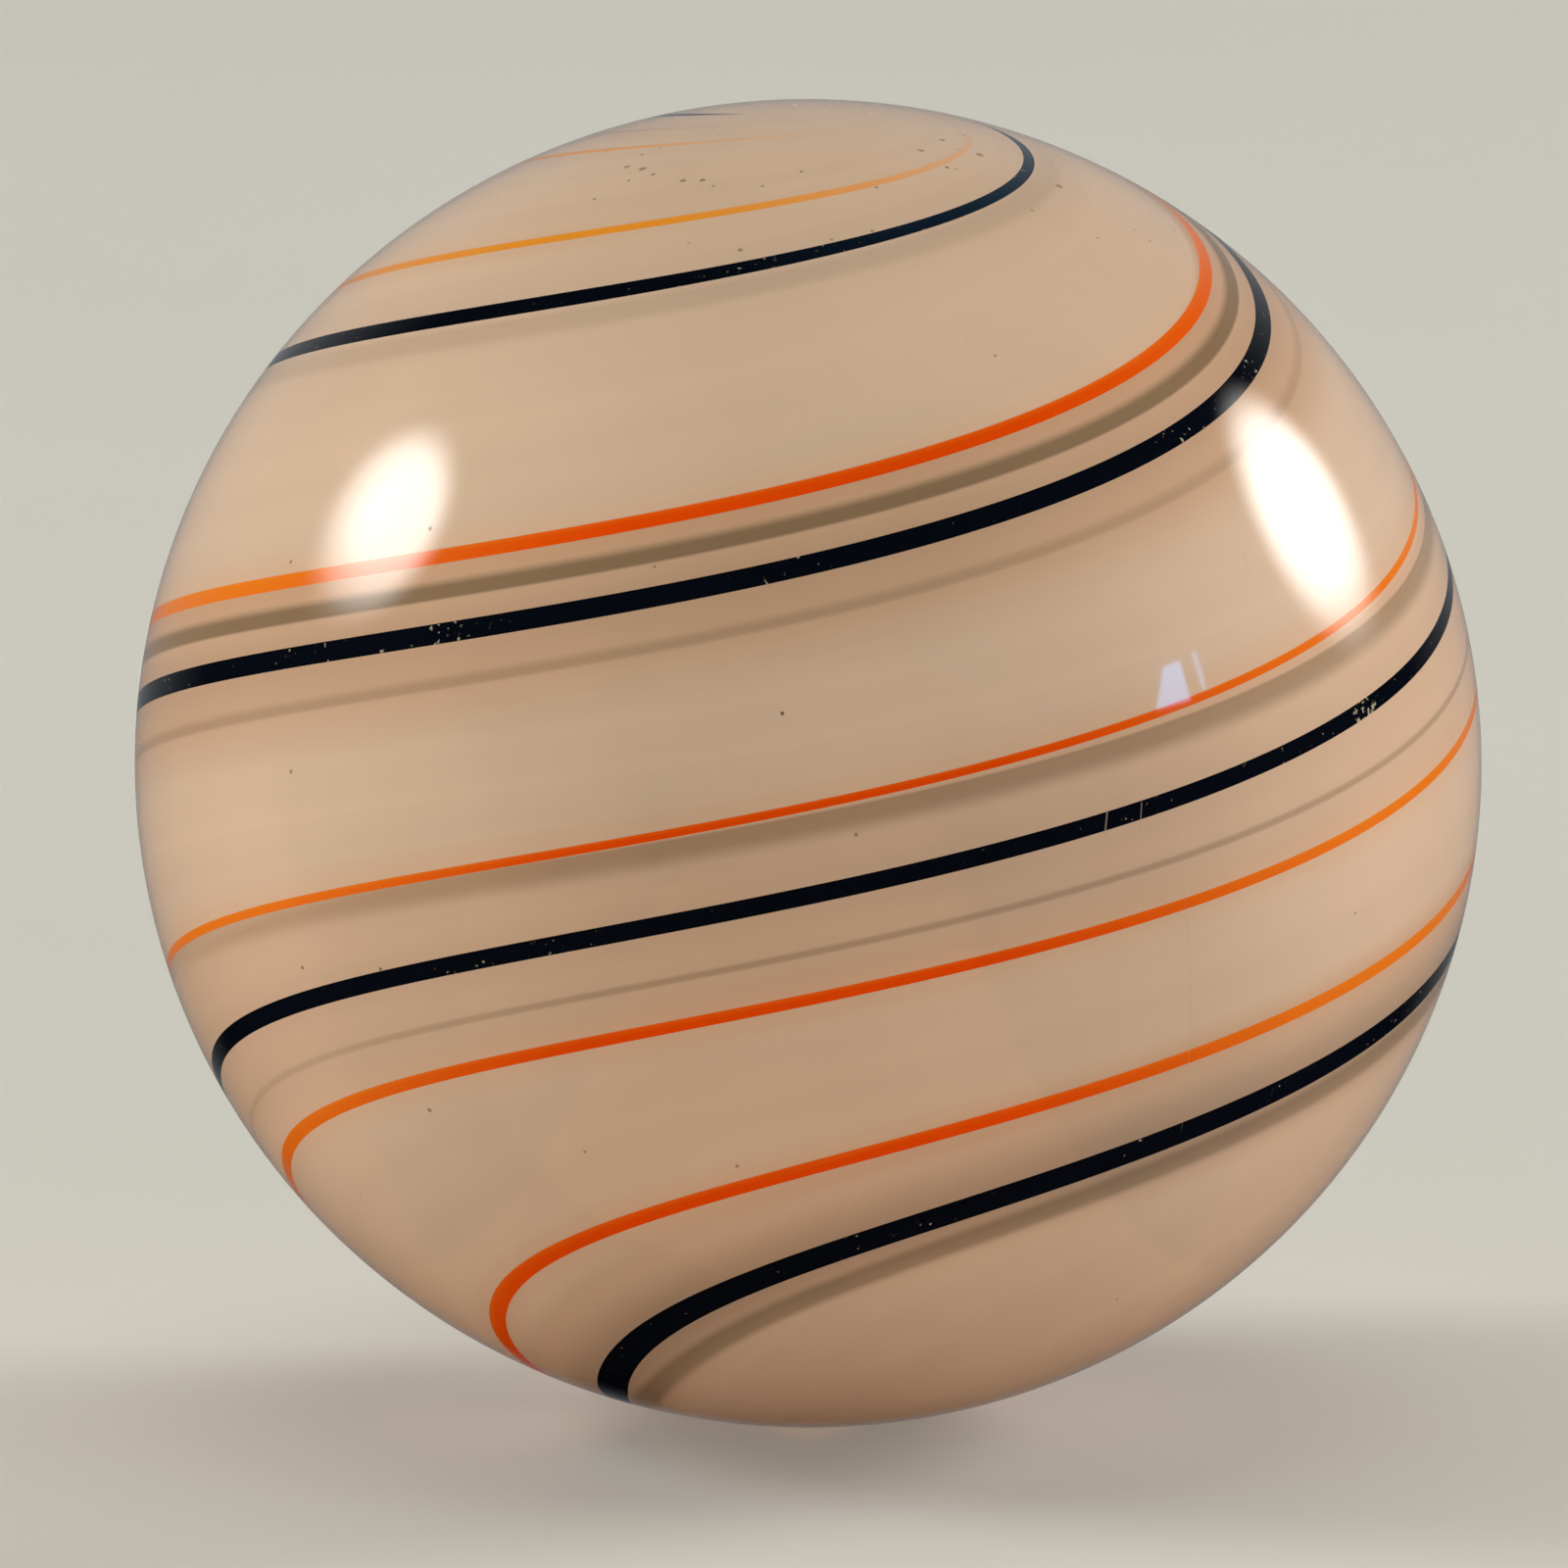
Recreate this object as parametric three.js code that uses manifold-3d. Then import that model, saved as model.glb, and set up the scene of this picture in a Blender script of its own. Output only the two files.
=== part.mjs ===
// A handmade swirl marble of opal glass, built up as a glassmaker gathers it: an inner gather, smoke-grey threads
// laid on it, a second milky gather over both, and coloured threads pressed flush into the outside.
// Millimetres, +Z up, origin at the middle of the ball. The twist axis leans a little towards +X.

import * as THREE from "three";
import { mergeVertices } from "three/addons/utils/BufferGeometryUtils.js";
import Module from "manifold-3d";

// Driving dimensions.
const BALL_RADIUS = 8;
const FLATNESS = 0.986; // polar radius over equatorial radius
const AXIS_LEAN = THREE.MathUtils.degToRad(3.7); // of the twist axis, towards +X
const CASING_THICKNESS = 0.6;
const BURIED_GAP = 0.24; // room between core and casing, where the smoke-grey threads lie
const CUT_OFF_RADIUS = 0.7; // core glass showing at each pole, where the ball was cut off the rod
const FIT_GAP = 0.05; // between pieces that touch

// The twist: a thread's longitude, in radians, as a sum of odd and even powers of its latitude.
const TWIST_TERMS = [
  { power: 1, factor: 3.8 },
  { power: 2, factor: 0.66 },
  { power: 3, factor: -1.41 },
  { power: 5, factor: 0.487 },
];
const THREAD_END = THREE.MathUtils.degToRad(80); // latitude where a thread stops, short of the cut-off mark
const THREAD_DEPTH = 0.14;
const BURIED_DEPTH = 0.09;
const THREAD_FLOOR_SHARE = 0.6; // width of a thread's underside over its top width
const SPREAD_LIMITS = [-50, 20].map(THREE.MathUtils.degToRad); // latitudes between which threads widen
const SOUTH_TAPER = THREE.MathUtils.degToRad(66); // southern latitude where a thread starts to draw out
const DRAWN_WIDTH_SHARE = 0.4; // of a thread's width, where it is drawn out furthest
const TIP_LENGTH = THREE.MathUtils.degToRad(4); // over which a thread's end comes to a point
const TIP_WIDTH_SHARE = 0.15; // width left at the very end

// How finely round shapes are faceted.
const AROUND = 32;
const ARC_STEPS = 14;
const THREAD_STEPS = 36;

// Longitude at the equator in degrees from -Y towards +X, lean in radians of longitude per radian of latitude,
// width at the equator in millimetres, spread, how fast it widens towards the south, and taper, the northern
// latitude in degrees where it starts to draw out.
const NAVY_THREADS = [
  { longitude: -94, lean: -0.22, width: 0.25, spread: 0, taper: 66 },
  { longitude: 8.5, lean: -0.25, width: 0.215, spread: 0.1, taper: 66 },
  { longitude: 127.5, lean: 0.43, width: 0.28, spread: 0.35, taper: 50 },
];
const ORANGE_THREADS = [
  { longitude: -122.5, lean: -0.08, width: 0.185, spread: 0, taper: 66 },
  { longitude: -18.5, lean: -0.3, width: 0.105, spread: 0.2, taper: 66 },
  { longitude: 43, lean: 0.09, width: 0.135, spread: 0.45, taper: 66 },
  { longitude: 99, lean: 0.33, width: 0.165, spread: 0.35, taper: 66 },
];
const BURIED_THREADS = [
  { longitude: -110.5, lean: -0.14, width: 0.19, spread: 0, taper: 66 },
  { longitude: -78.5, lean: -0.3, width: 0.15, spread: 0, taper: 66 },
  { longitude: -13, lean: -0.15, width: 0.22, spread: 0, taper: 66 },
  { longitude: 26.5, lean: -0.07, width: 0.1, spread: 0, taper: 66 },
  { longitude: 138, lean: 0.44, width: 0.3, spread: 0.3, taper: 66 },
];

const NAVY = { color: "#0a0c26", roughness: 0.12, metalness: 0 };
const ORANGE = { color: "#dd5a10", roughness: 0.12, metalness: 0 };
const SMOKE = { color: "#8b7a68", roughness: 0.3, metalness: 0 };
const OPAL = { color: "#e2cbb2", roughness: 0.1, metalness: 0 };
const CORE_OPAL = { color: "#ecdcc8", roughness: 0.2, metalness: 0 };

const CORE_RADIUS = BALL_RADIUS - CASING_THICKNESS - BURIED_GAP;
const CASING_INNER_RADIUS = BALL_RADIUS - CASING_THICKNESS;
const OPENING_RADIUS = CUT_OFF_RADIUS + FIT_GAP;

const wasm = await Module();
wasm.setup();

const toSolid = (geometry) => {
  const plain = geometry.clone();
  plain.deleteAttribute("normal");
  plain.deleteAttribute("uv");
  const merged = mergeVertices(plain, 1e-4);
  const vertProperties = new Float32Array(merged.attributes.position.array);
  const triVerts = new Uint32Array(merged.index.array);
  return new wasm.Manifold(new wasm.Mesh({ numProp: 3, vertProperties, triVerts }));
};

const toGeometry = (solid) => {
  const mesh = solid.getMesh();
  const geometry = new THREE.BufferGeometry();
  geometry.setAttribute("position", new THREE.BufferAttribute(new Float32Array(mesh.vertProperties), 3));
  geometry.setIndex(new THREE.BufferAttribute(new Uint32Array(mesh.triVerts), 1));
  geometry.computeVertexNormals();
  return geometry;
};

// A point on a ball of the given radius, flattened between its poles.
const onBall = (latitude, longitude, radius) =>
  new THREE.Vector3(
    radius * Math.cos(latitude) * Math.sin(longitude),
    -radius * Math.cos(latitude) * Math.cos(longitude),
    radius * FLATNESS * Math.sin(latitude),
  );

// Half outline of such a ball between two latitudes, as x = distance from the twist axis, y = height along it.
const meridian = (radius, fromLatitude, toLatitude) =>
  Array.from({ length: ARC_STEPS + 1 }, (_, i) => {
    const latitude = THREE.MathUtils.lerp(fromLatitude, toLatitude, i / ARC_STEPS);
    return new THREE.Vector2(radius * Math.cos(latitude), radius * FLATNESS * Math.sin(latitude));
  });

// A lathe turns about Y, and the marble's axis is Z.
const turned = (outline) => new THREE.LatheGeometry(outline, AROUND).rotateX(Math.PI / 2);

// The path of one thread over a ball. Its frames keep the section's y axis pointing out of the ball, and narrow
// the section's x axis towards the poles.
class ThreadPath extends THREE.Curve {
  constructor({ longitude, lean, spread, taper }, radius) {
    super();
    this.equatorLongitude = THREE.MathUtils.degToRad(longitude);
    this.lean = lean;
    this.spread = spread;
    this.northTaper = THREE.MathUtils.degToRad(taper);
    this.radius = radius;
  }

  latitudeAt(t) {
    return THREE.MathUtils.lerp(-THREAD_END, THREAD_END, t);
  }

  // Over its width at the equator.
  widthShare(latitude) {
    const spreading = Math.exp(-this.spread * THREE.MathUtils.clamp(latitude, ...SPREAD_LIMITS));
    const taperStart = latitude > 0 ? this.northTaper : SOUTH_TAPER;
    const drawn = Math.max(0, (Math.abs(latitude) - taperStart) / (THREAD_END - taperStart));
    const tip = Math.min(1, (THREAD_END - Math.abs(latitude)) / TIP_LENGTH + TIP_WIDTH_SHARE);
    return spreading * THREE.MathUtils.lerp(1, DRAWN_WIDTH_SHARE, drawn) * tip;
  }

  getPoint(t) {
    const latitude = this.latitudeAt(t);
    const twist = TWIST_TERMS.reduce((sum, { power, factor }) => sum + factor * latitude ** power, 0);
    return onBall(latitude, this.equatorLongitude + this.lean * latitude + twist, this.radius);
  }

  computeFrenetFrames(segments) {
    const tangents = [];
    const normals = [];
    const binormals = [];
    for (let i = 0; i <= segments; i += 1) {
      const tangent = this.getTangentAt(i / segments);
      const point = this.getPointAt(i / segments);
      const outward = point.clone().normalize();
      outward.addScaledVector(tangent, -outward.dot(tangent)).normalize();
      const share = this.widthShare(this.latitudeAt(this.getUtoTmapping(i / segments)));
      tangents.push(tangent);
      normals.push(outward.clone().cross(tangent).multiplyScalar(share));
      binormals.push(outward);
    }
    return { tangents, normals, binormals };
  }
}

// A thread is sunk with its flat top in the surface. Its groove is the same section with a gap around it, and
// reaches a little above the surface so that it cuts through.
const threadGeometry = (thread, radius, depth, gap = 0) => {
  const top = thread.width / 2 + gap;
  const floor = (thread.width / 2) * THREAD_FLOOR_SHARE + gap;
  const section = new THREE.Shape([
    new THREE.Vector2(-floor, -depth - gap),
    new THREE.Vector2(floor, -depth - gap),
    new THREE.Vector2(top, 2 * gap),
    new THREE.Vector2(-top, 2 * gap),
  ]);
  const extrudePath = new ThreadPath(thread, radius);
  return new THREE.ExtrudeGeometry(section, { steps: THREAD_STEPS, extrudePath });
};

// Inner gather: a ball whose glass reaches the outside at both poles.
const coreGeometry = () => {
  const shoulder = Math.acos(CUT_OFF_RADIUS / CORE_RADIUS);
  const capHeight = BALL_RADIUS * FLATNESS * Math.sqrt(1 - (CUT_OFF_RADIUS / BALL_RADIUS) ** 2);
  return turned([
    new THREE.Vector2(0, -BALL_RADIUS * FLATNESS),
    new THREE.Vector2(CUT_OFF_RADIUS, -capHeight),
    ...meridian(CORE_RADIUS, -shoulder, shoulder),
    new THREE.Vector2(CUT_OFF_RADIUS, capHeight),
    new THREE.Vector2(0, BALL_RADIUS * FLATNESS),
  ]);
};

// Second gather: a shell open at both poles, grooved for the coloured threads.
const casingGeometry = () => {
  const outerLip = Math.acos(OPENING_RADIUS / BALL_RADIUS);
  const innerLip = Math.acos(OPENING_RADIUS / CASING_INNER_RADIUS);
  const outside = meridian(BALL_RADIUS, -outerLip, outerLip);
  const inside = meridian(CASING_INNER_RADIUS, innerLip, -innerLip);
  const shell = toSolid(turned([...outside, ...inside, outside[0].clone()]));
  const grooves = [...NAVY_THREADS, ...ORANGE_THREADS].map((thread) =>
    toSolid(threadGeometry(thread, BALL_RADIUS, THREAD_DEPTH, FIT_GAP)),
  );
  return toGeometry(grooves.reduce((solid, groove) => solid.subtract(groove), shell));
};

const marble = new THREE.Group();
marble.rotation.y = AXIS_LEAN;

const addPiece = (name, geometry, look) => {
  const piece = new THREE.Mesh(geometry, new THREE.MeshStandardMaterial(look));
  piece.name = name;
  marble.add(piece);
};

const addThreads = (name, threads, radius, depth, look) =>
  threads.forEach((thread, i) => addPiece(`${name}_${i + 1}`, threadGeometry(thread, radius, depth), look));

addPiece("opal_core", coreGeometry(), CORE_OPAL);
addPiece("opal_casing", casingGeometry(), OPAL);
addThreads("buried_thread", BURIED_THREADS, CORE_RADIUS + FIT_GAP + BURIED_DEPTH, BURIED_DEPTH, SMOKE);
addThreads("navy_thread", NAVY_THREADS, BALL_RADIUS, THREAD_DEPTH, NAVY);
addThreads("orange_thread", ORANGE_THREADS, BALL_RADIUS, THREAD_DEPTH, ORANGE);

const part = new THREE.Group();
part.add(marble);

export default part;
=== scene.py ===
"""A handmade swirl marble of opal glass: its looks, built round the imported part. Metres, +Z up."""

import math

import bpy
from mathutils import Matrix, Vector


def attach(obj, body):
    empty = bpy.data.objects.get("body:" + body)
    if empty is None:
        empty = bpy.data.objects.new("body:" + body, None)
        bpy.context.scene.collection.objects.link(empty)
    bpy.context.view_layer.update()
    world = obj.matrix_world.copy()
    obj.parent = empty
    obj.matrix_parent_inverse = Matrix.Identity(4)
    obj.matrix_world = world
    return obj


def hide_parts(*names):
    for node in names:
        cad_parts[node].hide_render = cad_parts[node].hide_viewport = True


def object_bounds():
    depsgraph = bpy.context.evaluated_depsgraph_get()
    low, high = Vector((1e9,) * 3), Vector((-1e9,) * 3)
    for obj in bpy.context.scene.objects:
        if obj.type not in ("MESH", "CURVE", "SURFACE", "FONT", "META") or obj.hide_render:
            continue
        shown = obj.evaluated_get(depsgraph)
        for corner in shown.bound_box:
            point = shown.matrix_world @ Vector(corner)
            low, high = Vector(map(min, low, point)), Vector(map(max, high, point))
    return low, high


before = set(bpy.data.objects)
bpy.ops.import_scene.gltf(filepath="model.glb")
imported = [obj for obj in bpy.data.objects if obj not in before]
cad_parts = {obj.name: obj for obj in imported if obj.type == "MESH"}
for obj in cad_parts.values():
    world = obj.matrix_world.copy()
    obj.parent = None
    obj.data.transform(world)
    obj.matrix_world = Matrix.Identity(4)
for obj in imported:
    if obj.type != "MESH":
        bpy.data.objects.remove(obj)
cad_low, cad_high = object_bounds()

MM = 0.001

# The ball and its twist, as in the CAD model.
RADIUS = (cad_high.y - cad_low.y) / 2
FLATNESS = 0.986  # polar radius over equatorial radius
AXIS_LEAN = math.radians(3.7)  # of the twist axis, towards +X
LEANING = Matrix.Rotation(AXIS_LEAN, 3, "Y")
CASING_THICKNESS = 0.6 * MM
BURIED_GAP = 0.24 * MM
MARK_RADIUS = 0.7 * MM  # core glass showing at each pole, where the ball was cut off the rod
TWIST_TERMS = {1: 3.8, 2: 0.66, 3: -1.41, 5: 0.487}  # power of the latitude: factor
THREAD_END = math.radians(80)
THREAD_DEPTH = 0.14 * MM
BURIED_DEPTH = 0.09 * MM
BURIED_CLEARANCE = 0.05 * MM
CORE_RADIUS = RADIUS - CASING_THICKNESS - BURIED_GAP
BURIED_RADIUS = CORE_RADIUS + BURIED_CLEARANCE + BURIED_DEPTH

# Each thread has its longitude at the equator, in degrees from -Y towards +X, and its lean, in radians of
# longitude per radian of latitude. Width is at the equator, in millimetres, and spread is how fast it grows
# towards the south pole. Taper is the northern latitude where the thread starts to draw out, and pale the
# latitudes between which its colour thins, all in degrees.
NAVY_THREADS = [
    dict(longitude=-94, lean=-0.22, width=0.25, spread=0.0, taper=66, pale=(60, 84)),
    dict(longitude=8.5, lean=-0.25, width=0.215, spread=0.1, taper=66, pale=(60, 84)),
    dict(longitude=127.5, lean=0.43, width=0.28, spread=0.35, taper=50, pale=(52, 76)),
]
ORANGE_THREADS = [
    dict(longitude=-122.5, lean=-0.08, width=0.185, spread=0.0, taper=66, pale=(50, 72)),
    dict(longitude=-18.5, lean=-0.3, width=0.105, spread=0.2, taper=66, pale=(20, 60)),
    dict(longitude=43, lean=0.09, width=0.135, spread=0.45, taper=66, pale=(30, 66)),
    dict(longitude=99, lean=0.33, width=0.165, spread=0.35, taper=66, pale=(25, 52)),
]
BURIED_THREADS = [
    dict(longitude=-110.5, lean=-0.14, width=0.19, spread=0.0, taper=66, pale=(60, 80)),
    dict(longitude=-78.5, lean=-0.3, width=0.15, spread=0.0, taper=66, pale=(60, 80)),
    dict(longitude=-13, lean=-0.15, width=0.22, spread=0.0, taper=66, pale=(60, 80)),
    dict(longitude=26.5, lean=-0.07, width=0.1, spread=0.0, taper=66, pale=(60, 80)),
    dict(longitude=138, lean=0.44, width=0.3, spread=0.3, taper=66, pale=(60, 80)),
]
SOUTH_TAPER = 66
SPREAD_LIMITS = (math.radians(-50), math.radians(20))  # latitudes between which a thread's width grows
DRAWN_WIDTH = 0.4  # of a thread's full width, where it ends
TIP = math.radians(4)  # over which the end comes to a point
TIP_WIDTH = 0.15  # of the drawn width, left at the very end
FLOOR_WIDTH = 0.6  # of a thread's width at the surface, left at its floor
SURFACE_THREADS = sorted(NAVY_THREADS + ORANGE_THREADS, key=lambda thread: thread["longitude"])

# How finely the glass is meshed.
ROW_STEP = math.radians(0.5)
COLUMN_STEP = math.radians(2)
INNER_ROWS = 48
LIP_ROWS = 6
ACROSS_THREAD = 6
AROUND_CORE = 96
CAP_ROWS = 5


def twist(latitude):
    return sum(factor * latitude**power for power, factor in TWIST_TERMS.items())


def twist_rate(latitude):
    return sum(factor * power * latitude ** (power - 1) for power, factor in TWIST_TERMS.items())


def centre_line(thread, latitude):
    """Longitude of a thread's middle, in radians."""
    return math.radians(thread["longitude"]) + thread["lean"] * latitude + twist(latitude)


def smoothstep(low, high, value):
    t = min(max((value - low) / (high - low), 0), 1)
    return t * t * (3 - 2 * t)


def width_at(thread, latitude):
    """A thread's true width in metres. It widens to the south, and draws out to a point at each end."""
    reach = min(max(latitude, SPREAD_LIMITS[0]), SPREAD_LIMITS[1])
    taper_start = math.radians(thread["taper"] if latitude > 0 else SOUTH_TAPER)
    drawn = max(0, (abs(latitude) - taper_start) / (THREAD_END - taper_start))
    drawn_out = 1 - (1 - DRAWN_WIDTH) * drawn
    tip = min(1, (THREAD_END - abs(latitude)) / TIP + TIP_WIDTH)
    return thread["width"] * MM * math.exp(-thread["spread"] * reach) * drawn_out * tip


def paleness(thread, latitude):
    """How far a thread's colour has thinned, from 0 to 1."""
    start, end = (math.radians(angle) for angle in thread["pale"])
    return smoothstep(start, end, latitude)


def half_angle(thread, latitude, radius):
    """Half the thread's width as a difference in longitude, since it crosses the parallels at a slant."""
    slant = (twist_rate(latitude) + thread["lean"]) * math.cos(latitude)
    return width_at(thread, latitude) / 2 * math.hypot(1, slant) / (radius * math.cos(latitude))


def on_ball(latitude, longitude, radius):
    """A point on a ball round the leaning axis, flattened between its poles."""
    ring = radius * math.cos(latitude)
    height = radius * FLATNESS * math.sin(latitude)
    return LEANING @ Vector((ring * math.sin(longitude), -ring * math.cos(longitude), height))


def ball_normal(point):
    upright = LEANING.transposed() @ point
    return (LEANING @ Vector((upright.x, upright.y, upright.z / FLATNESS**2))).normalized()


def spaced(start, end, step):
    """Evenly spaced values from start to end, at most a step apart."""
    count = max(1, math.ceil(abs(end - start) / step))
    return [start + (end - start) * i / count for i in range(count + 1)]


class Surface:
    """Gathers points and faces. Faces of the outside get the ball's own normals, and the rest are flat."""

    def __init__(self):
        self.points = []
        self.sides = []
        self.paleness = []
        self.faces = []
        self.outside = []

    def point(self, place, side=0.5, pale=0.0):
        """Side is 0 at a thread's south edge and 1 at its north edge. Pale is 1 where its colour is thin."""
        self.points.append(place)
        self.sides.append(side)
        self.paleness.append(pale)
        return len(self.points) - 1

    def face(self, *corners, outside=False):
        self.faces.append(corners)
        self.outside.append(outside)

    def strip(self, first, second, outside=False):
        """Joins two rows of points that run the same way."""
        for i in range(len(first) - 1):
            self.face(first[i], first[i + 1], second[i + 1], second[i], outside=outside)

    def sleeve(self, first, second, outside=False):
        """Joins two rings of points that run the same way."""
        self.strip(first + first[:1], second + second[:1], outside)

    def corner_normals(self, mesh):
        normals = []
        for polygon, outside in zip(mesh.polygons, self.outside):
            for vertex in polygon.vertices:
                place = mesh.vertices[vertex].co
                normals.append(ball_normal(place) if outside else polygon.normal.copy())
        return normals

    def piece(self, name, material, nodes, slot):
        """Makes the object of one piece, and says what it rides on, replaces and is made of."""
        mesh = bpy.data.meshes.new(name)
        mesh.from_pydata(self.points, [], self.faces)
        mesh.update()
        mesh.shade_smooth()
        mesh.normals_split_custom_set(self.corner_normals(mesh))
        mesh.attributes.new("side", "FLOAT", "POINT").data.foreach_set("value", self.sides)
        mesh.attributes.new("pale", "FLOAT", "POINT").data.foreach_set("value", self.paleness)
        mesh.materials.append(material)
        made = bpy.data.objects.new(name, mesh)
        bpy.context.scene.collection.objects.link(made)
        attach(made, "root")
        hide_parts(*nodes)
        return made


# ---------------------------------------------------------------- materials

SWIRL_DRIFT = 0.1  # how fast the swirl changes along the twist, as a share of across it
POLAR_FADE = (math.radians(66), math.radians(79))  # latitudes between which the bands of colour fade out


class Net:
    """Adds nodes to a tree. An input is a plain value or another node's output."""

    def __init__(self, tree):
        self.tree = tree

    def node(self, kind, inputs, **settings):
        made = self.tree.nodes.new(kind)
        for name, value in settings.items():
            setattr(made, name, value)
        for name, value in inputs.items():
            if isinstance(value, bpy.types.NodeSocket):
                self.tree.links.new(value, made.inputs[name])
            else:
                made.inputs[name].default_value = value
        return made

    def math(self, operation, *values):
        return self.node("ShaderNodeMath", dict(enumerate(values)), operation=operation).outputs[0]

    def smooth(self, value, low, high, start=0.0, end=1.0):
        inputs = {"Value": value, "From Min": low, "From Max": high, "To Min": start, "To Max": end}
        return self.node("ShaderNodeMapRange", inputs, interpolation_type="SMOOTHSTEP").outputs[0]

    def blend(self, factor, first, second):
        inputs = {0: factor, 6: first, 7: second}
        return self.node("ShaderNodeMix", inputs, data_type="RGBA").outputs[2]

    def tint(self, share, colour, tint):
        inputs = {0: share, 6: colour, 7: tint}
        settings = dict(data_type="RGBA", blend_type="MULTIPLY", clamp_factor=False)
        return self.node("ShaderNodeMix", inputs, **settings).outputs[2]

    def noise(self, vector, scale, detail=2.0):
        inputs = {"Vector": vector, "Scale": scale, "Detail": detail}
        return self.node("ShaderNodeTexNoise", inputs).outputs["Fac"]

    def attribute(self, name):
        return self.node("ShaderNodeAttribute", {}, attribute_name=name).outputs["Fac"]

    def vector(self, operation, *values):
        made = self.node("ShaderNodeVectorMath", dict(enumerate(values)), operation=operation)
        return made.outputs["Vector"]

    def measure(self, operation, first, second):
        """A number that two vectors give, such as the distance between them."""
        made = self.node("ShaderNodeVectorMath", {0: first, 1: second}, operation=operation)
        return made.outputs["Value"]

    def axes(self, vector):
        return self.node("ShaderNodeSeparateXYZ", {0: vector}).outputs

    def wound(self, latitude):
        """How far the twist has turned at a latitude, in radians, and how fast it turns there."""
        turns, rate = 0.0, 0.0
        for power in range(max(TWIST_TERMS), 0, -1):
            factor = TWIST_TERMS.get(power, 0.0)
            turns = self.math("MULTIPLY", self.math("ADD", turns, factor), latitude)
            step = self.math("ADD", rate, factor * power)
            rate = self.math("MULTIPLY", step, latitude) if power > 1 else step
        return turns, rate

    def twist(self):
        """Where the shaded point is. Swirl changes quickly across the twist, and slowly along it."""
        place = self.node("ShaderNodeTexCoord", {}).outputs["Object"]
        turned_back = {"Vector": place, "Angle": -AXIS_LEAN}
        upright = self.node("ShaderNodeVectorRotate", turned_back, rotation_type="Y_AXIS").outputs[0]
        unit = self.vector("NORMALIZE", self.vector("MULTIPLY", upright, (1, 1, 1 / FLATNESS)))
        x, y, z = self.axes(unit)
        latitude = self.math("ARCSINE", z)
        turns, rate = self.wound(latitude)
        unwound = self.math("SUBTRACT", self.math("ARCTAN2", x, self.math("MULTIPLY", y, -1.0)), turns)
        along = self.math("MULTIPLY", latitude, SWIRL_DRIFT)
        round_axis = {0: self.math("COSINE", unwound), 1: self.math("SINE", unwound), 2: along}
        off_pole = self.smooth(self.math("ABSOLUTE", latitude), *POLAR_FADE, 1.0, 0.0)
        return dict(
            place=place,
            unit=unit,
            latitude=latitude,
            off_pole=off_pole,
            ring=self.math("COSINE", latitude),
            unwound=unwound,
            swirl=self.node("ShaderNodeCombineXYZ", round_axis).outputs[0],
            rate=rate,
        )

    def north_of(self, thread, at):
        """Distance in millimetres from the middle of a thread, more than 0 on its north side."""
        start = self.math("MULTIPLY_ADD", at["latitude"], thread["lean"], math.radians(thread["longitude"]))
        east = self.math("WRAP", self.math("SUBTRACT", at["unwound"], start), math.pi, -math.pi)
        slant = self.math("MULTIPLY", self.math("ADD", at["rate"], thread["lean"]), at["ring"])
        steepness = self.math("SQRT", self.math("MULTIPLY_ADD", slant, slant, 1.0))
        across = self.math("MULTIPLY", self.math("DIVIDE", at["ring"], steepness), -RADIUS / MM)
        return self.math("MULTIPLY", east, across)


def new_material(name):
    material = bpy.data.materials.new(name)
    material.use_nodes = True
    net = Net(material.node_tree)
    return material, net, material.node_tree.nodes["Principled BSDF"]


OPAL = (0.575, 0.396, 0.288, 1)
SMOKE_TINT = (0.41, 0.41, 0.36, 1)
# Tint of the painted shade in wide bands along the navy threads.
NAVY_SHADE_TINT = (0.87, 0.78, 0.7, 1)
GLOW_TINT = (1.0, 0.92, 0.86, 1)
SHADOW_TINT = (0.08, 0.08, 0.08, 1)
DUST = (0.13, 0.085, 0.04, 1)
NAVY = (0.0012, 0.0018, 0.0035, 1)
THIN_NAVY = (0.008, 0.022, 0.042, 1)
BARE_GLASS = (0.3, 0.24, 0.16, 1)
DARK_SMOKE = (0.2, 0.17, 0.12, 1)
PALE_SMOKE = (0.32, 0.27, 0.2, 1)
ORANGE = (0.68, 0.055, 0.001, 1)
AMBER = (0.7, 0.24, 0.02, 1)
GLASS_ROUGHNESS = 0.055

# Bands of colour that follow a thread. South and north are distances in millimetres from the thread's middle
# to the band's edges, and each blur is how soft that edge is. The band's strength goes from the first to the
# second of its strengths between the two latitudes of its change, in degrees.
VEILS = [
    dict(south=-0.14, south_blur=0.05, north=0.07, north_blur=0.14, change=(-8, 14), strengths=(0.4, 0.95)),
    dict(south=-0.13, south_blur=0.06, north=0.0, north_blur=0.12, change=(15, 45), strengths=(0.4, 0.25)),
    dict(south=-0.13, south_blur=0.24, north=0.14, north_blur=0.04, change=(-15, 6), strengths=(0.35, 0.65)),
    dict(south=-0.06, south_blur=0.04, north=0.02, north_blur=0.05, change=(-28, -8), strengths=(0.25, 0.5)),
    dict(south=-0.12, south_blur=0.16, north=0.2, north_blur=0.16, change=(-45, 20), strengths=(0.75, 0.2)),
]
# Painted shade: wide bands, darker and warmer, along each navy thread, for the light that the dark threads
# soak up in the opal.
NAVY_SHADE_BANDS = [
    dict(south=-0.95, south_blur=0.9, north=0.98, north_blur=0.12, change=(5, 30), strengths=(1.0, 1.1)),
    dict(south=-1.2, south_blur=0.7, north=1.0, north_blur=0.12, change=(-25, 5), strengths=(0.6, 0.55)),
    dict(south=-0.8, south_blur=0.8, north=1.15, north_blur=0.4, change=(-10, 25), strengths=(0.55, 0.05)),
]
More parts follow.
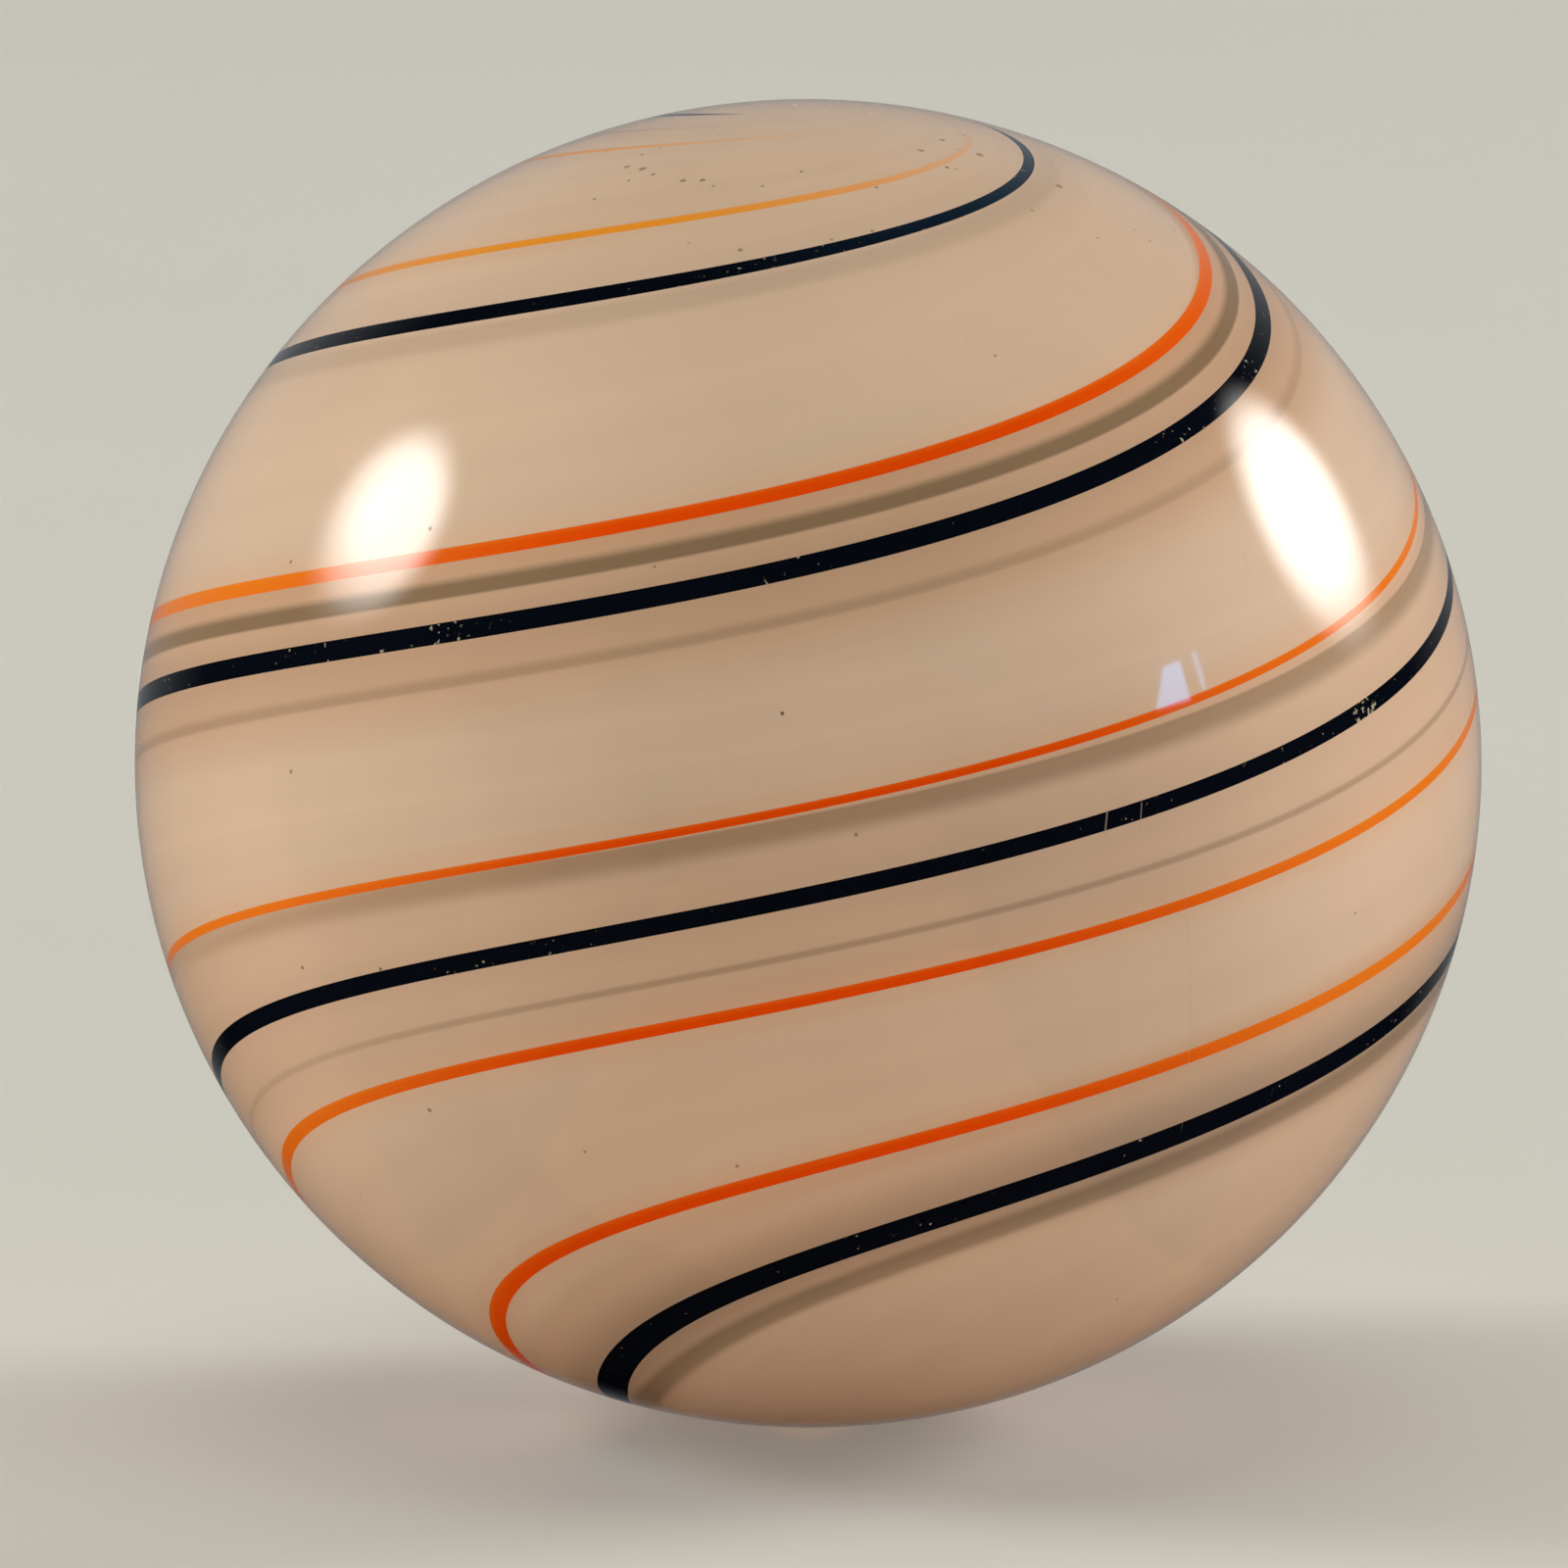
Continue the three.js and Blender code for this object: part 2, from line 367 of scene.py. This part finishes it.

# Painted shade beside the navy threads and painted glow beside the orange ones, for light scattering in the
# opal.
# Reach is how far from a thread's edges they go, in millimetres.
SHADOWS = [
    dict(reach=0.35, change=(-20, 20), strengths=(0.1, 0.1)),
    dict(reach=0.35, change=(-40, 40), strengths=(0.06, 0.06)),
    dict(reach=0.75, change=(-18, 32), strengths=(0.34, 0.08)),
]
GLOWS = [dict(reach=0.4, change=(45, 70), strengths=(1.0, 0.0))] * len(ORANGE_THREADS)

# Dust strewn over the ball, a grain to a cell. Scale is the number of cells to a metre, and reach is how far
# a grain goes in its cell. The dust sets in between two heights on a ball of radius 1.
DUST_LAYERS = [
    dict(scale=950.0, reach=0.026, heights=(-1.2, -1.1)),
    dict(scale=2600.0, reach=0.075, heights=(0.8, 0.92)),
]

# Marks at known places: latitudes and longitudes in degrees, sizes (radii) and widths in millimetres.
SPECKS = [
    dict(latitude=2.2, longitude=-49.2, size=0.035),
    dict(latitude=-26.1, longitude=-35.7, size=0.04),
    dict(latitude=-28.0, longitude=-19.5, size=0.025),
    dict(latitude=3.0, longitude=3.7, size=0.03),
    dict(latitude=-27.9, longitude=-4.8, size=0.03),
    dict(latitude=24.8, longitude=-39.4, size=0.035),
    dict(latitude=56.9, longitude=-16.3, size=0.04),
    dict(latitude=67.7, longitude=54.8, size=0.06),
    dict(latitude=66.2, longitude=-53.7, size=0.05),
    dict(latitude=66.4, longitude=-49.0, size=0.06),
    dict(latitude=65.9, longitude=-44.5, size=0.04),
    dict(latitude=65.7, longitude=-36.0, size=0.05),
    dict(latitude=66.2, longitude=-32.0, size=0.05),
    dict(latitude=65.5, longitude=-28.4, size=0.03),
    dict(latitude=66.4, longitude=-18.3, size=0.03),
    dict(latitude=75.2, longitude=24.0, size=0.05),
    dict(latitude=77.6, longitude=39.0, size=0.05),
    dict(latitude=74.1, longitude=44.2, size=0.06),
    dict(latitude=71.5, longitude=29.4, size=0.03),
]
SCRATCHES = [
    dict(start=(6.0, 25.3), end=(3.2, 25.1), width=0.03),
    dict(start=(6.4, 28.5), end=(3.8, 28.4), width=0.02),
    dict(start=(1.0, 32.5), end=(-24.5, 38.6), width=0.012),
    dict(start=(27.3, 42.7), end=(25.2, 42.7), width=0.018),
]

# Painted glare: spots on the navy threads beside the lamps' highlights, drawn with more chips of bare glass.
GLARE_SPOTS = [
    dict(latitude=12.8, longitude=54.9, size=0.5, strength=0.15),
    dict(latitude=38.0, longitude=40.0, size=0.7, strength=0.09),
    dict(latitude=43.0, longitude=58.0, size=0.6, strength=0.07),
    dict(latitude=16.8, longitude=-32.5, size=1.0, strength=0.075),
    dict(latitude=12.5, longitude=-53.5, size=0.35, strength=0.07),
]


def unit_place(latitude, longitude):
    """A place given in degrees, as a unit vector in the leaning ball's own axes."""
    north, east = math.radians(latitude), math.radians(longitude)
    return Vector((math.cos(north) * math.sin(east), -math.cos(north) * math.cos(east), math.sin(north)))


def specks(net, at):
    """Dust and pinholes: scattered ones, thicker round the north pole, and single ones at known places."""
    height = net.axes(at["unit"])[2]
    scattered = 0.0
    for layer in DUST_LAYERS:
        cell = net.node("ShaderNodeTexVoronoi", {"Vector": at["place"], "Scale": layer["scale"]})
        grain = net.smooth(cell.outputs["Distance"], layer["reach"] * 0.6, layer["reach"], 1.0, 0.0)
        grain = net.math("MULTIPLY", grain, net.smooth(height, *layer["heights"]))
        scattered = net.math("MAXIMUM", scattered, grain)
    for speck in SPECKS:
        away = net.measure("DISTANCE", at["unit"], unit_place(speck["latitude"], speck["longitude"]))
        size = speck["size"] * MM / RADIUS
        scattered = net.math("MAXIMUM", scattered, net.smooth(away, size * 0.4, size, 0.75, 0.0))
    return scattered


def scratches(net, at):
    """Hairlines along arcs of great circles."""
    lines = 0.0
    for scratch in SCRATCHES:
        start, end = unit_place(*scratch["start"]), unit_place(*scratch["end"])
        across = net.measure("DOT_PRODUCT", at["unit"], start.cross(end).normalized())
        along = net.measure("DISTANCE", at["unit"], (start + end).normalized())
        half = scratch["width"] * MM / RADIUS / 2
        reach = (start - end).length / 2
        line = net.smooth(net.math("ABSOLUTE", across), half * 0.3, half, 1.0, 0.0)
        line = net.math("MULTIPLY", line, net.smooth(along, reach * 0.7, reach, 1.0, 0.0))
        lines = net.math("MAXIMUM", lines, line)
    return lines


def painted_glare(net, at):
    """Painted glare: more than 0 at the spots beside the lamps' highlights on the navy threads."""
    strongest = 0.0
    for mark in GLARE_SPOTS:
        away = net.measure("DISTANCE", at["unit"], unit_place(mark["latitude"], mark["longitude"]))
        reach = mark["size"] * MM / RADIUS
        glare = net.smooth(away, reach / 3, reach, mark["strength"], 0.0)
        strongest = net.math("MAXIMUM", strongest, glare)
    return strongest


def look_strength(net, at, look):
    """How strongly a band or a change of colour shows at this latitude."""
    change = [math.radians(angle) for angle in look["change"]]
    return net.math("MULTIPLY", net.smooth(at["latitude"], *change, *look["strengths"]), at["off_pole"])


def bands(net, at, threads, looks):
    """How strongly the bands that follow some threads show."""
    strongest = 0.0
    for thread, look in zip(threads, looks):
        north = net.north_of(thread, at)
        south_half, north_half = look["south_blur"] / 2, look["north_blur"] / 2
        rise = net.smooth(north, look["south"] - south_half, look["south"] + south_half)
        fall = net.smooth(north, look["north"] - north_half, look["north"] + north_half, 1.0, 0.0)
        band = net.math("MULTIPLY", net.math("MULTIPLY", rise, fall), look_strength(net, at, look))
        strongest = net.math("MAXIMUM", strongest, band)
    return strongest


def beside(net, at, threads, looks):
    """How near some threads the shaded point is."""
    strongest = 0.0
    for thread, look in zip(threads, looks):
        away = net.math("ABSOLUTE", net.north_of(thread, at))
        edge = thread["width"] / 2
        near = net.smooth(away, edge, edge + look["reach"], 1.0, 0.0)
        near = net.math("MULTIPLY", near, look_strength(net, at, look))
        strongest = net.math("MAXIMUM", strongest, near)
    return strongest


def shade(colour, share):
    """A darker or lighter version of a colour."""
    return (*(share * part for part in colour[:3]), 1)


def opal_body(net, at):
    """The opal's own colour: faint clouds, and fainter wisps drawn out along the twist."""
    cloud = net.noise(at["place"], 200.0, 3.0)
    wisp = net.noise(at["swirl"], 5.0, 2.0)
    mixed = net.math("MULTIPLY_ADD", wisp, 0.3, net.math("MULTIPLY", cloud, 0.7))
    return net.blend(net.smooth(mixed, 0.25, 0.75), shade(OPAL, 0.94), shade(OPAL, 1.06))


def glass_finish(net, glass, at, colour, marks):
    """Polished glass, with faint marks of handling, and duller where it is marked."""
    net.tree.links.new(colour, glass.inputs["Base Color"])
    handled = net.noise(at["place"], 1500.0, 4.0)
    roughness = net.math("MULTIPLY_ADD", handled, 0.03, GLASS_ROUGHNESS - 0.015)
    net.tree.links.new(net.math("MULTIPLY_ADD", marks, 0.3, roughness), glass.inputs["Roughness"])


def opal_material():
    material, net, glass = new_material("opal_glass")
    at = net.twist()
    # Painted shade in wide bands along the navy threads.
    colour = net.tint(bands(net, at, NAVY_THREADS, NAVY_SHADE_BANDS), opal_body(net, at), NAVY_SHADE_TINT)
    colour = net.tint(bands(net, at, BURIED_THREADS, VEILS), colour, SMOKE_TINT)
    # Painted glow beside the orange threads, then painted shade beside the navy threads.
    colour = net.tint(beside(net, at, ORANGE_THREADS, GLOWS), colour, GLOW_TINT)
    colour = net.tint(beside(net, at, NAVY_THREADS, SHADOWS), colour, SHADOW_TINT)
    dirt = specks(net, at)
    lines = scratches(net, at)
    colour = net.blend(net.math("MULTIPLY", lines, 0.25), colour, DUST)
    colour = net.blend(dirt, colour, DUST)
    glass_finish(net, glass, at, colour, net.math("MAXIMUM", dirt, lines))
    return material


def core_material():
    material, net, glass = new_material("core_opal_glass")
    at = net.twist()
    ground = net.smooth(net.noise(at["place"], 9000.0, 4.0), 0.62, 0.7)
    glass_finish(net, glass, at, opal_body(net, at), ground)
    return material


def smoke_material():
    material, net, glass = new_material("smoke_glass")
    at = net.twist()
    streak = net.noise(at["swirl"], 60.0, 3.0)
    body = net.blend(streak, DARK_SMOKE, PALE_SMOKE)
    net.tree.links.new(body, glass.inputs["Base Color"])
    glass.inputs["Roughness"].default_value = 0.2
    return material


def navy_material():
    """Nearly black; chips of bare glass, thick in stretches and rare in others, thicker beside highlights as
    painted glare.
    """
    material, net, glass = new_material("navy_glass")
    at = net.twist()
    patches_and_glare = net.smooth(net.noise(at["place"], 300.0, 2.0), 0.4, 0.65, 0.0, 0.06)
    # Painted glare: the spots beside the highlights add to the patchy wear, so more chips of bare glass show
    # there.
    patches_and_glare = net.math("ADD", patches_and_glare, painted_glare(net, at))
    grain = net.math("ADD", net.noise(at["place"], 13000.0, 5.0), patches_and_glare)
    nicks_and_glare = net.smooth(grain, 0.72, 0.79, 0.0, 0.9)
    wear_and_glare = net.math("MAXIMUM", nicks_and_glare, net.math("MULTIPLY", scratches(net, at), 0.6))
    body = net.blend(net.noise(at["swirl"], 80.0), NAVY, shade(NAVY, 2))
    body = net.blend(net.attribute("pale"), body, THIN_NAVY)
    glass_finish(net, glass, at, net.blend(wear_and_glare, body, BARE_GLASS), wear_and_glare)
    return material


def orange_material():
    """Orange, more amber on its north edge and, as painted light, to either side; thinning to opal at the
    north pole.
    """
    material, net, glass = new_material("orange_glass")
    at = net.twist()
    edge = net.math("MULTIPLY_ADD", net.noise(at["swirl"], 70.0), 0.5, net.attribute("side"))
    # Painted light: more amber towards the ball's left and right sides.
    lit_sides = net.math("ABSOLUTE", net.axes(at["unit"])[0])
    body = net.blend(net.smooth(lit_sides, 0.25, 0.95, 0.0, 0.55), ORANGE, AMBER)
    body = net.blend(net.smooth(edge, 0.7, 1.5, 0.0, 0.3), body, AMBER)
    body = net.blend(net.attribute("pale"), body, AMBER)
    body = net.blend(net.smooth(at["latitude"], math.radians(58), math.radians(86)), body, OPAL)
    lines = scratches(net, at)
    glass_finish(net, glass, at, net.blend(net.math("MULTIPLY", lines, 0.4), body, BARE_GLASS), lines)
    return material


# ------------------------------------------------------------------- pieces


def ribbon(thread, radius, depth):
    """One thread as a closed solid. Its top curves with the ball, and its sides slope in to its floor."""
    made = Surface()
    sections = []
    for latitude in spaced(-THREAD_END, THREAD_END, ROW_STEP):
        middle = centre_line(thread, latitude)
        half = half_angle(thread, latitude, radius)
        pale = paleness(thread, latitude)
        top = []
        for i in range(ACROSS_THREAD + 1):
            east = i / ACROSS_THREAD
            top.append(made.point(on_ball(latitude, middle + half * (2 * east - 1), radius), 1 - east, pale))
        edges = (middle + half * FLOOR_WIDTH, middle - half * FLOOR_WIDTH)
        floor = [made.point(on_ball(latitude, edge, radius - depth)) for edge in edges]
        sections.append((top, floor))
    for (top, floor), (next_top, next_floor) in zip(sections, sections[1:]):
        made.strip(top, next_top, outside=True)
        made.strip([top[-1], floor[0]], [next_top[-1], next_floor[0]])
        made.strip(floor, next_floor)
        made.strip([floor[1], top[0]], [next_floor[1], next_top[0]])
    first, last = sections[0], sections[-1]
    made.face(*reversed(first[0]), *reversed(first[1]))
    made.face(*last[0], *last[1])
    return made


def gaps():
    """The casing's glass between each surface thread and the next one to its east."""
    found = []
    for i, thread in enumerate(SURFACE_THREADS):
        follower = SURFACE_THREADS[(i + 1) % len(SURFACE_THREADS)]
        turn = 2 * math.pi if i + 1 == len(SURFACE_THREADS) else 0
        across = math.radians(follower["longitude"] - thread["longitude"]) + turn
        found.append(dict(thread=thread, follower=follower, turn=turn, cells=round(across / COLUMN_STEP)))
    return found


GAPS = gaps()


def outline(made, latitude, radius):
    """Points round the casing at one latitude: both edges of each thread, and the glass after it."""
    held = min(max(latitude, -THREAD_END), THREAD_END)
    angles = []
    for gap in GAPS:
        half = half_angle(gap["thread"], held, RADIUS)
        next_half = half_angle(gap["follower"], held, RADIUS)
        west = centre_line(gap["thread"], latitude) + half
        east = centre_line(gap["follower"], latitude) + gap["turn"] - next_half
        angles.append(west - 2 * half)
        angles.extend(west + (east - west) * i / gap["cells"] for i in range(gap["cells"]))
    return [made.point(on_ball(latitude, angle, radius)) for angle in angles]


def groove(made, thread, latitudes, lips):
    """A thread's groove. The lips are the points of its west and east edge at each latitude."""
    floors = []
    for latitude in latitudes:
        middle = centre_line(thread, latitude)
        half = half_angle(thread, latitude, RADIUS) * FLOOR_WIDTH
        edges = (middle - half, middle + half)
        floors.append([made.point(on_ball(latitude, edge, RADIUS - THREAD_DEPTH)) for edge in edges])
    sections = list(zip(lips, floors))
    for (lip, floor), (next_lip, next_floor) in zip(sections, sections[1:]):
        made.face(lip[0], floor[0], next_floor[0], next_lip[0])
        made.face(floor[0], floor[1], next_floor[1], next_floor[0])
        made.face(floor[1], lip[1], next_lip[1], next_floor[1])
    made.face(*lips[0], *reversed(floors[0]))
    made.face(*reversed(lips[-1]), *floors[-1])


def casing_outside(made):
    """The casing's outer face, from its south rim to its north rim, with its grooves."""
    rim = math.acos(MARK_RADIUS / RADIUS)
    ends = [spaced(end * THREAD_END, end * rim, (rim - THREAD_END) / LIP_ROWS) for end in (-1, 1)]
    threaded = spaced(-THREAD_END, THREAD_END, ROW_STEP)
    latitudes = ends[0][:0:-1] + threaded + ends[1][1:]
    rows = [outline(made, latitude, RADIUS) for latitude in latitudes]
    first = len(ends[0]) - 1
    last = first + len(threaded) - 1
    wests = [sum(gap["cells"] + 1 for gap in GAPS[:i]) for i in range(len(GAPS))]
    for j, (row, above) in enumerate(zip(rows, rows[1:])):
        for i in range(len(row)):
            if not (first <= j < last and i in wests):
                k = (i + 1) % len(row)
                made.face(row[i], row[k], above[k], above[i], outside=True)
    for thread, west in zip(SURFACE_THREADS, wests):
        groove(made, thread, threaded, [row[west : west + 2] for row in rows[first : last + 1]])
    return rows


def casing():
    """The outer gather: a shell open at both poles, with a groove for each coloured thread."""
    made = Surface()
    outer = casing_outside(made)
    radius = RADIUS - CASING_THICKNESS
    rim = math.acos(MARK_RADIUS / radius)
    latitudes = [-rim + 2 * rim * j / INNER_ROWS for j in range(INNER_ROWS + 1)]
    inner = [outline(made, latitude, radius) for latitude in latitudes]
    for lower, upper in zip(inner, inner[1:]):
        made.sleeve(upper, lower)
    made.sleeve(inner[0], outer[0])
    made.sleeve(outer[-1], inner[-1])
    return made


def core():
    """The inner gather, whose glass reaches the outside at both poles."""
    made = Surface()
    shoulder = math.acos(MARK_RADIUS / CORE_RADIUS)
    rim = math.acos(MARK_RADIUS / RADIUS)

    def ring(latitude, radius):
        turns = [2 * math.pi * i / AROUND_CORE for i in range(AROUND_CORE)]
        return [made.point(on_ball(latitude, turn, radius)) for turn in turns]

    cap = [math.pi / 2 - (math.pi / 2 - rim) * (k + 1) / CAP_ROWS for k in range(CAP_ROWS)]
    covered = spaced(-shoulder, shoulder, COLUMN_STEP * 2)
    rings = [(ring(-latitude, RADIUS), True) for latitude in cap]
    rings += [(ring(latitude, CORE_RADIUS), False) for latitude in covered]
    rings += [(ring(latitude, RADIUS), True) for latitude in reversed(cap)]
    for (lower, low_out), (upper, up_out) in zip(rings, rings[1:]):
        made.sleeve(lower, upper, outside=low_out and up_out)
    south = made.point(on_ball(-math.pi / 2, 0, RADIUS))
    north = made.point(on_ball(math.pi / 2, 0, RADIUS))
    bottom, top = rings[0][0], rings[-1][0]
    for i in range(AROUND_CORE):
        k = (i + 1) % AROUND_CORE
        made.face(south, bottom[k], bottom[i], outside=True)
        made.face(north, top[i], top[k], outside=True)
    return made


casing().piece("opal_casing_glass", opal_material(), ["opal_casing"], "opal_casing_glass")
core().piece("opal_core_glass", core_material(), ["opal_core"], "opal_core_glass")
THREAD_SETS = [
    ("navy_thread", NAVY_THREADS, RADIUS, THREAD_DEPTH, navy_material(), "navy_glass"),
    ("orange_thread", ORANGE_THREADS, RADIUS, THREAD_DEPTH, orange_material(), "orange_glass"),
    ("buried_thread", BURIED_THREADS, BURIED_RADIUS, BURIED_DEPTH, smoke_material(), "smoke_glass"),
]
for family, threads, radius, depth, material, slot in THREAD_SETS:
    for number, thread in enumerate(threads, 1):
        node = f"{family}_{number}"
        ribbon(thread, radius, depth).piece(f"{node}_glass", material, [node], slot)


# ------------------------------------------------------------------- studio


def floor_mesh():
    """A flat disc that sweeps up into a low round wall."""
    flat, bend, wall = 0.7, 0.28, 0.45
    around, bend_rows = 96, 12
    profile = [(reach * flat, 0.0) for reach in (0.02, 0.2, 0.5, 1.0)]
    for i in range(1, bend_rows + 1):
        turn = math.pi / 2 * i / bend_rows
        profile.append((flat + bend * math.sin(turn), bend * (1 - math.cos(turn))))
    profile.append((flat + bend, wall))
    made = Surface()
    rings = []
    for reach, height in profile:
        turns = [2 * math.pi * i / around for i in range(around)]
        places = [(reach * math.cos(turn), reach * math.sin(turn), cad_low.z + height) for turn in turns]
        rings.append([made.point(place) for place in places])
    for ring, wider in zip(rings, rings[1:]):
        made.sleeve(ring, wider)
    made.face(*reversed(rings[0]))
    mesh = bpy.data.meshes.new("floor")
    mesh.from_pydata(made.points, [], made.faces)
    mesh.shade_smooth()
    return mesh


def stage_floor():
    mesh = floor_mesh()
    material, net, paint = new_material("pale_floor")
    place = net.node("ShaderNodeTexCoord", {}).outputs["Object"]
    body = net.blend(net.noise(place, 30.0, 4.0), (0.53, 0.505, 0.48, 1), (0.57, 0.545, 0.52, 1))
    net.tree.links.new(body, paint.inputs["Base Color"])
    paint.inputs["Roughness"].default_value = 0.9
    mesh.materials.append(material)
    made = bpy.data.objects.new("floor", mesh)
    made.visible_glossy = False
    bpy.context.scene.collection.objects.link(made)


def softbox(name, direction, distance, size, power, colour, offset=(0.0, 0.0), shape="ELLIPSE"):
    """An area light that faces the ball. Its offset is across and up, in metres, in its own plane."""
    data = bpy.data.lights.new(name, "AREA")
    data.shape = shape
    data.size, data.size_y = size
    data.energy = power
    data.color = colour
    made = bpy.data.objects.new(name, data)
    outwards = Vector(direction).normalized()
    made.rotation_euler = outwards.to_track_quat("Z", "Y").to_euler()
    made.location = outwards * distance + made.rotation_euler.to_matrix() @ Vector((*offset, 0))
    made.visible_camera = False
    bpy.context.scene.collection.objects.link(made)
    return made


def mask(light):
    """The nodes of a light, the place in it, from 0 to 1 across and up, and the socket for its strength."""
    light.data.use_nodes = True
    net = Net(light.data.node_tree)
    place = net.node("ShaderNodeNewGeometry", {}).outputs["Parametric"]
    return net, place, net.tree.nodes["Emission"].inputs["Strength"]


def lamp(name, direction, size, offset, power, bright_spot):
    """A key light that is brightest at one spot, dims away from it, and has a soft rim."""
    made = softbox(name, direction, 0.4, size, power, (1.0, 0.98, 0.94), offset)
    net, place, strength = mask(made)
    rim = net.smooth(net.measure("DISTANCE", place, (0.5, 0.5, 0)), 0.3, 0.5, 1.0, 0.0)
    dimmed = net.smooth(net.measure("DISTANCE", place, (*bright_spot, 0)), 0.14, 0.54, 1.0, 0.12)
    net.tree.links.new(net.math("MULTIPLY", rim, dimmed), strength)


def window():
    """Two panes of blue daylight, small and faint in the glass. The left one has a slanting side."""
    side = (0.905, -0.342, 0.247)
    blue = (0.15, 0.5, 1.0)
    slant = -0.49
    wide = softbox("window", side, 0.4, (0.051, 0.04), 0.06, blue, (-0.0215, 0.007), "RECTANGLE")
    softbox("window_edge", side, 0.4, (0.007, 0.037), 0.0055, blue, (0.027, 0.012), "RECTANGLE")
    net, place, strength = mask(wide)
    across, height, _ = net.axes(place)
    inside = net.math("MULTIPLY_ADD", height, slant, across)
    net.tree.links.new(net.smooth(inside, 0.0, 0.04), strength)


def fill(name, direction, distance, size, power, colour, shadow=True):
    """A wide, dim light that the glass doesn't mirror."""
    made = softbox(name, direction, distance, (size, size), power, colour)
    made.visible_glossy = False
    made.data.use_shadow = shadow


def rim_card():
    """A wide pale glow behind the ball, which only lights the glass where it turns away from the camera."""
    made = softbox("rim_card", (0, 1, 0.2), 0.6, (1.7, 1.2), 1.5, (0.9, 0.95, 1.0))
    made.visible_diffuse = False
    net, place, strength = mask(made)
    off_middle = net.measure("DISTANCE", place, (0.5, 0.5, 0))
    net.tree.links.new(net.smooth(off_middle, 0.0, 0.5, 1.0, 0.0), strength)


def studio():
    """The floor and every light. Sizes and distances are in metres, and powers in watts."""
    stage_floor()
    left, right = (-0.849, 0.135, 0.511), (0.821, 0.367, 0.439)
    lamp("left_lamp", left, (0.24, 0.21), (0.008, -0.012), power=1.68, bright_spot=(0.58, 0.6))
    lamp("right_lamp", right, (0.25, 0.225), (0.014, -0.034), power=1.83, bright_spot=(0.44, 0.6))
    window()
    rim_card()
    fill("left_fill", (-1, -0.35, 0.25), 1.6, size=1.3, power=18.0, colour=(0.9, 1.0, 0.96), shadow=False)
    fill("right_fill", (1, -0.35, 0.25), 1.6, size=1.3, power=20.5, colour=(0.94, 1.0, 0.98), shadow=False)
    fill("top_fill", (0, 0, 1), 0.6, size=0.5, power=1.3, colour=(1.0, 1.0, 0.8))
    fill("low_fill", (0, -0.6, -1), 0.6, size=0.5, power=1.35, colour=(1.0, 0.6, 0.3), shadow=False)
    world = bpy.data.worlds.new("studio")
    world.use_nodes = True
    world.node_tree.nodes["Background"].inputs["Color"].default_value = (0.03, 0.03, 0.03, 1)
    world.cycles_visibility.glossy = False
    bpy.context.scene.world = world
    bpy.context.scene.view_settings.view_transform = "Standard"


def camera():
    """Looks down at the ball from in front, from far enough away that it isn't distorted."""
    data = bpy.data.cameras.new("camera")
    made = bpy.data.objects.new("camera", data)
    elevation = math.radians(8.67)
    distance = 30 * RADIUS
    half_width = 9.3175 * MM  # of the picture, where the ball is
    left, down = 0.2865 * MM, 0.2457 * MM  # from the ball's middle to the picture's
    right = Vector((1, 0, 0))
    back = Vector((0, -math.cos(elevation), math.sin(elevation)))
    up = Vector((0, math.sin(elevation), math.cos(elevation)))
    data.angle = 2 * math.atan(half_width / distance)
    data.clip_start = 0.01
    made.location = back * distance - right * left - up * down
    made.rotation_euler = back.to_track_quat("Z", "Y").to_euler()
    bpy.context.scene.collection.objects.link(made)
    bpy.context.scene.camera = made


camera()
studio()
